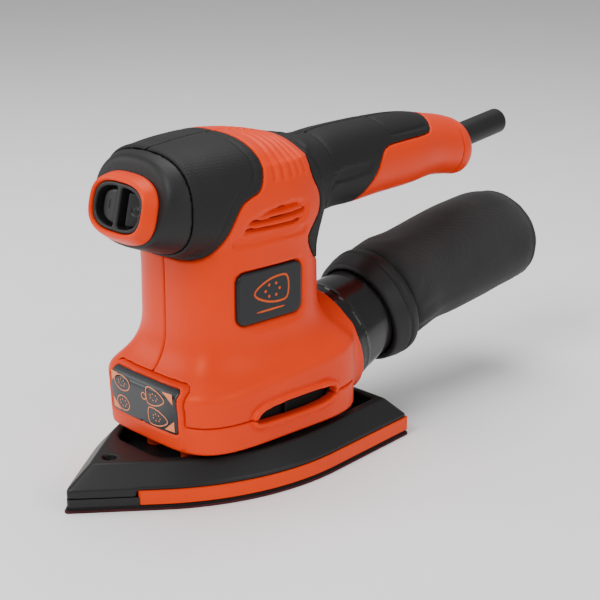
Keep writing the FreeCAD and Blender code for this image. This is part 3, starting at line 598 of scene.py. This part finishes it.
def groove_lines(body, distance, flat, depth):
    """A narrow round groove along a side-view distance of zero; flat widens its middle."""
    return np.hypot(np.maximum(np.abs(distance) - flat * 0.5, 0), np.minimum(body, 0)) - depth


def label_outline(x, z):
    return rounded_box(x, z - LABEL_CENTRE, 25.0, 11.2, 2.6)


def make_shells():
    """The skirt ring, the two housing halves, and the black and orange mouldings over them."""
    space, body, shell, guard_way = shell_fields()
    x, y, z = space.x, space.y, space.z
    nose, rear, cap = skin_regions(space)
    wells, posts = screw_wells(space)
    seats = np.minimum(np.minimum(nose, rear), cap)
    shell = smooth_max(shell, -np.maximum(seats - GAP, -(body + SKIN)), 0.3)
    label = np.maximum(label_outline(x, z), y - PANEL_REACH)
    shell = smooth_max(shell, -np.maximum(label, -(body - PANEL_PROUD + 1.0)), 0.3)
    shell = np.maximum(shell, -guard_way)
    panel = np.maximum(panel_outline(x, z), y - PANEL_REACH)
    ring_zone = np.minimum(np.maximum(z - PARTING, y - RING_BACK), panel)
    ring = smooth_max(shell, ring_zone + GAP, 0.3)
    carve("skirt_ring_moulding", space, ring, orange_plastic, replaces=["skirt_ring"], whole=True)
    upper = smooth_max(shell, -(ring_zone - GAP), 0.3)
    upper = np.maximum(upper, GAP - x)
    carve("housing_right_moulding", space, upper, orange_plastic, replaces=["housing_right", "dust_outlet"])
    left = np.minimum(upper, np.maximum(np.maximum(posts, body + 1.0), GAP - x))
    left = smooth_max(left, -wells, 0.4)
    carve("housing_left_moulding", space, left, orange_plastic, replaces=["housing_left"], flip=True)

    # nose cap and nose grips, with a step between them
    cap_body = body + 0.5
    cap_reach = np.where(body > -1.3, NOSE_STEP - 0.1, NOSE_STEP + 3)
    nose_cap = smooth_max(np.maximum(cap_body, -(body + SKIN)), np.maximum(nose + GAP, y - cap_reach), 0.4)
    carve("nose_cap_moulding", space, nose_cap, soft_black, replaces=["nose_cap"], whole=True)
    raise_lip = 0.45 * np.exp(-((y - NOSE_STEP - 1.5) / 3.0) ** 2)
    grip_body = body - raise_lip
    pad_line = groove_lines(grip_body, nose + 5.4, 0.3, 0.5) + np.maximum(NOSE_STEP + 6 - y, 0)
    grip_depth = np.where(y > NOSE_STEP + 3.2, SKIN, 1.1)
    grip = np.maximum(grip_body, -(body + grip_depth))
    grip = smooth_max(grip, np.maximum(nose + GAP, NOSE_STEP - y), 0.5)
    grip = smooth_max(grip, -pad_line, 0.3)
    grip = np.maximum(grip, GAP - x)
    carve("nose_grip_right_moulding", space, grip, grip_black, replaces=["nose_grip_right"])
    carve("nose_grip_left_moulding", space, smooth_max(grip, -wells, 0.4), grip_black,
          replaces=["nose_grip_left"], flip=True)

    # rear grips, with grooves, a hollow for the fingers and a waist
    rear_body = body
    for line in ([(97, 170), (97, 158), (101.5, 150), (128.6, 150.4)],
                 [(52.5, 170), (54.5, 154), (54.3, 146), (57.3, 140.4)],
                 [(50, 131.5), (54, 134.6), (66, 133.6), (82, 135.6)],
                 [(54, 138.2), (68, 138.8), (82, 138.4)]):
        groove = groove_lines(rear_body, from_line(y, z, line), 0.3, 0.7)
        rear_body = smooth_max(rear_body, -groove, 0.4)
    corners = [(55, 138), (81, 138.6), (83, 136), (68, 134), (52, 134.2)]
    hollow = from_line(y, z, rounded_loop(corners, 3), True)
    rear_body = smooth_max(rear_body, -np.maximum(hollow, -(body + 0.9)), 0.8)
    collar_line = from_line(y, z, [(36.5, 175), (34.5, 150), (38, 139), (43, 130), (48, 118), (46, 95)])
    rear_body = smooth_max(rear_body, -groove_lines(body, collar_line, 1.2, 0.9), 1.2)
    grip = np.maximum(rear_body, -(body + SKIN))
    grip = smooth_max(grip, rear + GAP, 0.5)
    grip = np.maximum(grip, GAP - x)
    carve("rear_grip_right_moulding", space, grip, grip_black, replaces=["rear_grip_right"])
    carve("rear_grip_left_moulding", space, smooth_max(grip, -wells, 0.4), grip_black,
          replaces=["rear_grip_left"], flip=True)

    end = smooth_max(np.maximum(body, -(body + END_THICK)), cap + GAP, 0.5)
    end = np.maximum(end, -guard_way)
    carve("handle_end_cap_moulding", space, end, orange_plastic, replaces=["handle_end_cap"], whole=True)


make_shells()

# ---------------------------------------------------------------- badges and front label

def make_badges():
    """Flat badge plates with bevelled edges, each with a plain pictogram of a sanding sheet."""
    space = Space((30.0, -21, 77), (35, 24, 107), FILM_GRID)
    plate = smooth_max(badge_outline(space.y, space.z), space.x - BADGE_FACE, 0.9)
    plate = np.maximum(plate, BADGE_FACE - 2.2 - space.x)
    for side, flip in (("right", False), ("left", True)):
        carve("badge_plate_" + side, space, plate, badge_black, replaces=["badge_" + side], flip=flip,
              rounds=1)
        sign = -1 if flip else 1

        def on_badge(u, v):
            return (sign * (BADGE_FACE + 0.07), BADGE_CENTRE[0] + u, BADGE_CENTRE[1] + v)

        pictogram("badge_mark_" + side, on_badge, badge_ink, sign > 0)


def ribbon(loop, width):
    """Two outlines, in and out of a closed loop, for a drawn line of even width."""
    ahead = np.roll(loop, -1, axis=0) - np.roll(loop, 1, axis=0)
    normal = np.stack([ahead[:, 1], -ahead[:, 0]], axis=1)
    normal /= np.linalg.norm(normal, axis=1)[:, None]
    return loop + normal * width / 2, loop - normal * width / 2


def drawn(name, shapes, onto, mat, faces_out):
    """Flat marks a film's thickness proud of a surface: shapes are (outer, inner) loops or filled loops."""
    points = []
    faces = []
    for outer, inner in shapes:
        start = len(points)
        points += [onto(u, v) for u, v in outer]
        if inner is None:
            faces.append(list(range(start, start + len(outer))))
            continue
        points += [onto(u, v) for u, v in inner]
        n = len(outer)
        for i in range(n):
            j = (i + 1) % n
            faces.append([start + i, start + j, start + n + j, start + n + i])
    if not faces_out:
        faces = [face[::-1] for face in faces]
    return add_mesh(name, points, faces, mat, smooth=False)


def iron_loop(centre, long, wide, turn=0.0):
    """The pad's outline as a small drawn shape: a point ahead, round sides, a straight back."""
    corners = np.array([(-0.55, 0), (-0.12, 0.42), (0.25, 0.5), (0.45, 0.42), (0.45, -0.42), (0.25, -0.5),
                        (-0.12, -0.42)]) * (long, wide)
    loop = rounded_loop(corners, 4)
    c, s = math.cos(turn), math.sin(turn)
    return loop @ np.array([[c, s], [-s, c]]) + np.array(centre)


def dot(centre, radius, count=10):
    """A small regular polygon that passes for a circle."""
    turns = np.arange(count) * 2 * math.pi / count
    return np.stack([centre[0] + radius * np.cos(turns), centre[1] + radius * np.sin(turns)], axis=1)


def pictogram(name, onto, mat, faces_out):
    """An iron-shaped sheet with its ring of dust holes, and a short line under it."""
    sheet = iron_loop((0.6, 1.6), 24, 13)
    shapes = [ribbon(sheet, 1.0)]
    for step in range(6):
        turn = step * math.pi / 3
        shapes.append((dot((1.2 + 4.4 * math.cos(turn), 1.6 + 3.2 * math.sin(turn)), 0.75), None))
    shapes.append((rounded_loop([(-9, -8.2), (9, -8.2), (9, -7.2), (-9, -7.2)], 3), None))
    drawn(name, shapes, onto, mat, faces_out)


def on_label(u, v):
    """A point just proud of the label film, from its place across and up the label."""
    height = LABEL_CENTRE + v
    front = skirt_front(height)
    half_long = (SKIRT_BACK - front) / 2
    bow = half_long * (1 - (abs(u) / SKIRT_HALF_WIDE) ** SKIRT_SQUARENESS) ** (1 / SKIRT_SQUARENESS)
    return (u, (SKIRT_BACK + front) / 2 - bow - PANEL_PROUD - 0.02, height)


def make_label():
    """A film in the raised panel, with outlines of the tool's accessories and a flag in each corner."""
    space = Space((-27, -54, 29), (27, -42, 56), FILM_GRID)
    x, z = space.x, space.z
    skin = body_surface(space)[0] - PANEL_PROUD
    notch = np.hypot(x, z - 31.2) - 1.4
    film = smooth_max(np.maximum(skin + 0.1, -(skin + 1.0)), label_outline(x, z) + 0.25, 0.3)
    film = smooth_max(film, -notch, 0.3)
    carve("front_label_film", space, film, label_grey, replaces=["front_label"], rounds=1)

    shapes = []
    turns = np.arange(28) * 2 * math.pi / 28
    ellipse = np.stack([-14.2 + 6.2 * np.cos(turns), 5.2 + 3.9 * np.sin(turns)], axis=1)
    shapes.append(ribbon(ellipse, 0.55))
    shapes.append(ribbon(iron_loop((11.0, 4.6), 14.5, 9.2, math.pi), 0.55))
    shapes.append(ribbon(dot((2.6, 3.2), 1.7, 14), 0.5))
    six_sided = [(-20, -5.4), (-17, -1.6), (-11.5, -1.6), (-8.4, -5.4), (-11.5, -9.0), (-17, -9.0)]
    shapes.append(ribbon(rounded_loop(six_sided, 3), 0.55))
    shapes.append(ribbon(iron_loop((12.0, -5.4), 15.5, 9.0, math.pi), 0.55))
    for u, v in ((-23, 9.4), (23, 9.4), (-23, -9.6), (23, -9.6)):
        flag = [(u, v), (u - math.copysign(6.4, u), v), (u, v - math.copysign(5.4, v))]
        shapes.append((flag if u * v > 0 else flag[::-1], None))
    for cu, cv in ((-14.2, 5.2), (10.2, 4.6), (-14.2, -5.3), (11.2, -5.4)):
        for step in range(7):
            turn = step * 2 * math.pi / 7
            shapes.append((dot((cu + 2.6 * math.cos(turn), cv + 1.7 * math.sin(turn)), 0.4, 6), None))
    drawn("label_icons", shapes, on_label, label_ink, True)


make_badges()
make_label()

# ---------------------------------------------------------------- switch on the nose

NOSE_FRAME = Matrix.Translation(NOSE_ORIGIN) @ Matrix.Rotation(math.pi / 2 - NOSE_TILT, 4, "X")
ROCKER_DEEP = 12.0
ROCKER_TILT = math.radians(6.0)


def make_switch():
    """Bezel, black frame with two D-shaped windows, and the rocker behind them, in the nose's own frame."""
    space = Space((-25, -19, -8), (25, 19, 3), FINE_GRID)
    x, y, z = space.x, space.y, space.z
    flare = 2.6 * np.clip((0.6 - z) / 6.0, 0, 1) ** 0.75
    rim = evened(space.full(oval(x, y, 19.6 + flare, 13.0 + 1.15 * flare, 2.7)), space.step)
    rim = smooth_max(rim, z - 0.9, 1.6)
    hollow = evened(space.full(oval(x, y, 18.0, 11.2, 2.9)), space.step)
    bevel = hollow + 0.9 - 1.1 * np.clip(z + 1.0, 0, 3)
    bezel = smooth_max(np.maximum(rim, -6.5 - z), -hollow, 0.6)
    bezel = smooth_max(bezel, -bevel, 0.8)
    carve("switch_bezel_moulding", space, bezel, orange_plastic, replaces=["switch_bezel"],
          place=NOSE_FRAME, rounds=1)

    space = Space((-20, -13, -11), (20, 13, 2), FINE_GRID)
    x, y, z = space.x, space.y, space.z
    plate = evened(space.full(oval(x, y, 17.8, 11.0, 2.9)), space.step)
    plate = smooth_max(np.maximum(plate, -9 - z), z + 0.7, 0.8)
    lobes = evened(space.full(oval(x, y, 15.6, 9.2, 2.8)), space.step)
    windows = smooth_max(lobes, 1.5 - np.abs(x), 1.6)
    frame_field = smooth_max(plate, -windows, 0.7)
    carve("switch_frame_moulding", space, frame_field, black_plastic, replaces=["switch_frame"],
          place=NOSE_FRAME, rounds=1)

    space = Space((-17, -11, -14), (17, 11, 2), FINE_GRID)
    x, y, z = space.x, space.y, space.z
    turned_x = x * math.cos(ROCKER_TILT) - (z + ROCKER_DEEP) * math.sin(ROCKER_TILT)
    turned_z = x * math.sin(ROCKER_TILT) + (z + ROCKER_DEEP) * math.cos(ROCKER_TILT) - ROCKER_DEEP
    lobes = evened(space.full(oval(turned_x, y, 14.2, 7.9, 2.8)), space.step)
    rocker = smooth_max(lobes, 3.2 - np.abs(turned_x), 1.2)
    top = turned_z + 2.4 + 0.012 * turned_x**2
    rocker = smooth_max(np.maximum(rocker, -13 - z), top, 1.0)
    bridge = np.maximum(rounded_box(turned_x, y, 12, 5, 1), np.abs(turned_z + 12) - 1.2)
    ring_mark = np.abs(np.hypot(turned_x - 8.4, y) - 1.9) - 0.28
    bar_mark = rounded_box(turned_x + 8.4, y, 0.3, 2.0, 0.2)
    marks = np.maximum(np.minimum(ring_mark, bar_mark), -(top + 0.5))
    rocker = smooth_max(np.minimum(rocker, bridge), -marks, 0.2)
    carve("switch_rocker_moulding", space, rocker, black_plastic, body="rocker", replaces=["switch_rocker"],
          place=NOSE_FRAME, rounds=1)


make_switch()

# ---------------------------------------------------------------- pad

NOSE_TURN = math.radians(38.0)
REAR_TURN = math.radians(6.5)
PAD_SIDE = 119.3
PAD_HALF_WIDE = 53.3
PAD_WIDEST = 12.1
PAD_BACK = 86.0
TIP_BACK = -69.0
TIP_HOLE = -70.0
PAD_AXIS = -0.8
PLATEN_LOW = 6.4
PLATEN_TOP = 20.0
BAND_TOP = 9.4
RECESS_FLOOR = 12.2


def pad_edge(x, y):
    """Distance from the pad's outline in plan: straight nose, round sides, tapered rear."""
    across = np.hypot(x, 1.0) - (PAD_HALF_WIDE - PAD_SIDE)
    back = y - PAD_WIDEST
    turn = np.clip(np.arctan2(back, across), -NOSE_TURN, REAR_TURN)
    side = across * np.cos(turn) + back * np.sin(turn) - PAD_SIDE
    return smooth_max(side, y - PAD_BACK, 1.2)


def make_platen():
    """The black platen: chamfered all round, with a deck round the tip hole and a recess behind it."""
    space = Space((-54, -97, 5.6), (54, 88, 32), PAD_GRID)
    x, y, z = space.x, space.y, space.z
    # its edge stands in behind the orange band, and reaches out again over the detail tip
    ahead = np.clip((TIP_BACK - y) / 1.5, 0, 1)
    side = pad_edge(x, y) + 1.2
    chamfer = (side + 0.93 * (z - 11.1)) / math.hypot(1, 0.93)
    lip = side + 1.15 * np.clip((BAND_TOP - z) / 0.5, 0, 1) * (1 - ahead) - 0.4 * ahead
    platen = smooth_max(np.maximum(lip, chamfer), z - PLATEN_TOP, 0.5)
    platen = np.maximum(platen, PLATEN_LOW - z)
    recess = smooth_max(side + 13.0, -53.5 - y, 4.0)
    platen = smooth_max(platen, -np.maximum(recess, RECESS_FLOOR - z), 1.0)
    hole = np.hypot(x, y - TIP_HOLE)
    platen = smooth_max(platen, -np.maximum(hole - 3.4, 10.2 - z), 0.5)
    # a short groove across each side of the deck
    for sign in (-1, 1):
        across = sign * x * 0.788 + y * 0.616 + 51.8
        along = sign * x * 0.616 - y * 0.788 - 45.0
        ledge = np.maximum(np.hypot(across, z - PLATEN_TOP) - 0.8, np.abs(along) - 6.0)
        platen = smooth_max(platen, -ledge, 0.4)
    # the hub that holds the pad's bearing
    radial = np.hypot(x, y - PAD_AXIS)
    hub = np.maximum(radial - 20.0, np.maximum(z - 31.0, 8 - z))
    bore = radial - 13.2
    platen = smooth_max(smooth_min(platen, hub, 1.0), -np.maximum(bore, RECESS_FLOOR - z), 0.5)
    carve("platen_moulding", space, platen, black_plastic, body="pad", replaces=["platen"])


make_platen()

# ---------------------------------------------------------------- dust tube and collar

def port_space(low, high):
    """A block round the dust outlet's axis, with the distance along the axis and from it."""
    space = Space(low, high, TUBE_GRID)
    along, up = along_axis(space, PORT_ORIGIN, PORT_RISE)
    return space, along, np.hypot(space.x, up)


def make_dust_tube():
    """The tapered tube with a ridge round it and a flat underside."""
    space, along, radial = port_space((-30, 44, 21), (30, 116, 82))
    radius = np.interp(along, [-14, 3, 24, 41], [27.8, 27.8, 25.0, 25.0])
    outer = radial - radius
    ridge = np.hypot(outer, along - 7.0) - 0.55
    outer = smooth_min(outer, ridge, 0.6)
    bottom = 22.9 - space.z
    tube = smooth_max(outer, bottom, 3.0)
    tube = smooth_max(tube, np.abs(along - 13.0) - 26.9, 0.6)
    inner = smooth_max(radial - radius + 2.2, bottom + 2.2, 2.0)
    tube = smooth_max(tube, -inner, 0.4)
    carve("dust_tube_moulding", space, tube, gloss_black, body="dust_tube", replaces=["dust_tube"])


def make_collar():
    """The bag's rubber collar, flared and folded towards the bag."""
    space, along, radial = port_space((-33, 84, 20), (33, 120, 92))
    radius = np.interp(along, [27, 29, 33, 36, 37.2, 38.4, 43], [28.2, 28.8, 29.8, 30.6, 29.6, 30.9, 30.7])
    collar = smooth_max(radial - radius, np.abs(along - 35.0) - 7.9, 1.4)
    collar = smooth_max(collar, 25.45 - radial, 0.3)
    carve("bag_collar_moulding", space, collar, soft_black, body="dust_bag", replaces=["bag_collar"])


make_dust_tube()
make_collar()

# ---------------------------------------------------------------- dust bag

# bag sections: distance back, height of the middle, half width, half height, upward tilt in degrees
BAG = [(108.6, 58.8, 30.0, 27.6, 15.0), (119.0, 62.6, 31.6, 28.8, 22.0), (131.0, 64.6, 29.6, 28.2, 14.0),
       (146.0, 66.4, 29.8, 29.0, 11.0), (166.0, 69.8, 31.0, 29.0, 12.0), (186.0, 73.2, 32.2, 28.6, 11.0),
       (202.0, 75.0, 32.0, 27.4, 6.0), (213.0, 75.4, 26.0, 21.4, 2.0), (216.5, 75.4, 14.0, 11.4, 0.0)]
BAG_SLACK = 0.965
BAG_CAP = 4.0
BAG_AROUND = 72
BAG_ALONG = 54
CLOTH_FRAMES = 20
MOUTH_BACK = 112.0


def bag_start():
    """The sewn tube before it fills: rings through the bag's sections, closed at both ends."""
    rows = [(step,) + section for step, section in enumerate(BAG)]
    turns = np.arange(BAG_AROUND) * 2 * math.pi / BAG_AROUND
    points = []
    for at in np.linspace(0, len(BAG) - 1, BAG_ALONG):
        back, height, half_width, half_tall, tilt = smooth_rows(rows, np.array([at]))[:, 0]
        tilt = math.radians(tilt)
        up = half_tall * BAG_SLACK * np.sin(turns)
        ring = np.stack([half_width * BAG_SLACK * np.cos(turns), back - up * math.sin(tilt),
                         height + up * math.cos(tilt)], axis=1)
        points.append(ring)
    points = np.concatenate(points)
    faces = []
    for a in range(0, (BAG_ALONG - 1) * BAG_AROUND, BAG_AROUND):
        b = a + BAG_AROUND
        for i in range(BAG_AROUND):
            j = (i + 1) % BAG_AROUND
            faces.append([a + i, a + j, b + j, b + i])
    faces.append(list(range(BAG_AROUND))[::-1])
    faces.append(list(range((BAG_ALONG - 1) * BAG_AROUND, BAG_ALONG * BAG_AROUND)))
    return points, faces


def applied(piece):
    """The piece's mesh with its modifiers worked in."""
    graph = bpy.context.evaluated_depsgraph_get()
    graph.update()
    mesh = bpy.data.meshes.new_from_object(piece.evaluated_get(graph))
    piece.modifiers.clear()
    piece.data = mesh
    return mesh


def coordinates(mesh):
    """A mesh's points, in metres, as rows of X, Y and Z."""
    flat = np.empty(len(mesh.vertices) * 3)
    mesh.vertices.foreach_get("co", flat)
    return flat.reshape(-1, 3)


def filled_with_air(piece):
    """The cloth swells under a light pressure, held at its mouth, and may move only so far."""
    simulation = piece.modifiers.new("cloth", "CLOTH")
    held = piece.vertex_groups.new(name="mouth")
    start = coordinates(piece.data).copy()
    held.add([int(i) for i in np.flatnonzero(start[:, 1] < MOUTH_BACK * MM)], 1.0, "REPLACE")
    settings = simulation.settings
    settings.use_pressure = True
    settings.uniform_pressure_force = 4
    settings.vertex_group_mass = "mouth"
    settings.effector_weights.gravity = 0
    simulation.point_cache.frame_end = CLOTH_FRAMES
    for step in range(1, CLOTH_FRAMES + 1):
        bpy.context.scene.frame_set(step)
    mesh = applied(piece)
    moved = coordinates(mesh) - start
    length = np.linalg.norm(moved, axis=1)
    limit = np.minimum(1, BAG_CAP * MM / np.maximum(length, 1e-9))
    mesh.vertices.foreach_set("co", (start + moved * limit[:, None]).ravel())
    bpy.context.scene.frame_set(1)


def sewn(piece):
    """Soft folds by the mouth, a sag along the underside, and the seams of the tube and its end."""
    mesh = piece.data
    points = coordinates(mesh) / MM
    middle = smooth_rows([(back, height) for back, height, *_ in BAG], points[:, 1])[0]
    off = np.stack([points[:, 0], points[:, 2] - middle], axis=1)
    reach = np.linalg.norm(off, axis=1)
    turn = np.arctan2(off[:, 1], off[:, 0])
    back = points[:, 1]
    near_mouth = np.exp(-np.maximum(back - 116, 0) / 13)
    folds = 0.55 * near_mouth * np.sin(11 * turn + 1.7 * np.sin(2 * turn + 0.4))
    drift = 0.5 * np.sin(2.3 * turn + back / 17) * np.sin(back / 23 + 0.7)
    sag = -1.0 * np.exp(-((turn + 1.2) / 0.7) ** 2) * np.exp(-((back - 160) / 30) ** 2)
    lengthwise = 0.9 * np.exp(-((np.mod(turn + 2.2 + math.pi, 2 * math.pi) - math.pi) * reach / 1.3) ** 2)
    end_seam = 0.8 * np.exp(-((back - 206.0) / 1.2) ** 2)
    grow = (folds + drift + sag + lengthwise + end_seam) * np.clip((reach - 8) / 12, 0, 1)
    grow *= np.clip((back - MOUTH_BACK + 2) / 6, 0, 1)
    out = off / np.maximum(reach, 1)[:, None]
    points[:, 0] += out[:, 0] * grow
    points[:, 2] += out[:, 1] * grow
    mesh.vertices.foreach_set("co", (points * MM).ravel())
    mesh.update()


def make_bag():
    """The dust bag: sewn tube, even mesh, filled with air, then its folds and seams."""
    points, faces = bag_start()
    bag = add_mesh("dust_bag_cloth", points, faces, cloth, "dust_bag", ["dust_bag"])
    remesh = bag.modifiers.new("even", "REMESH")
    remesh.mode = "VOXEL"
    remesh.voxel_size = 0.0045
    applied(bag)
    filled_with_air(bag)
    finer = bag.modifiers.new("finer", "SUBSURF")
    finer.levels = 2
    finer.render_levels = 2
    applied(bag)
    sewn(bag)
    bag.data.polygons.foreach_set("use_smooth", [True] * len(bag.data.polygons))


make_bag()

# ---------------------------------------------------------------- finishing

HALF_FLOOR = 6.0
plane = bpy.data.meshes.new("floor")
plane.from_pydata([(-HALF_FLOOR, -HALF_FLOOR, 0), (HALF_FLOOR, -HALF_FLOOR, 0), (HALF_FLOOR, HALF_FLOOR, 0),
                   (-HALF_FLOOR, HALF_FLOOR, 0)], [], [(0, 1, 2, 3)])
floor = bpy.data.objects.new("floor", plane)
floor.location.z = -0.0002
plane.materials.append(material("pale_floor", (0.95, 0.95, 0.95), 0.7, spread=0.01, Specular_IOR_Level=0.1))
bpy.context.collection.objects.link(floor)
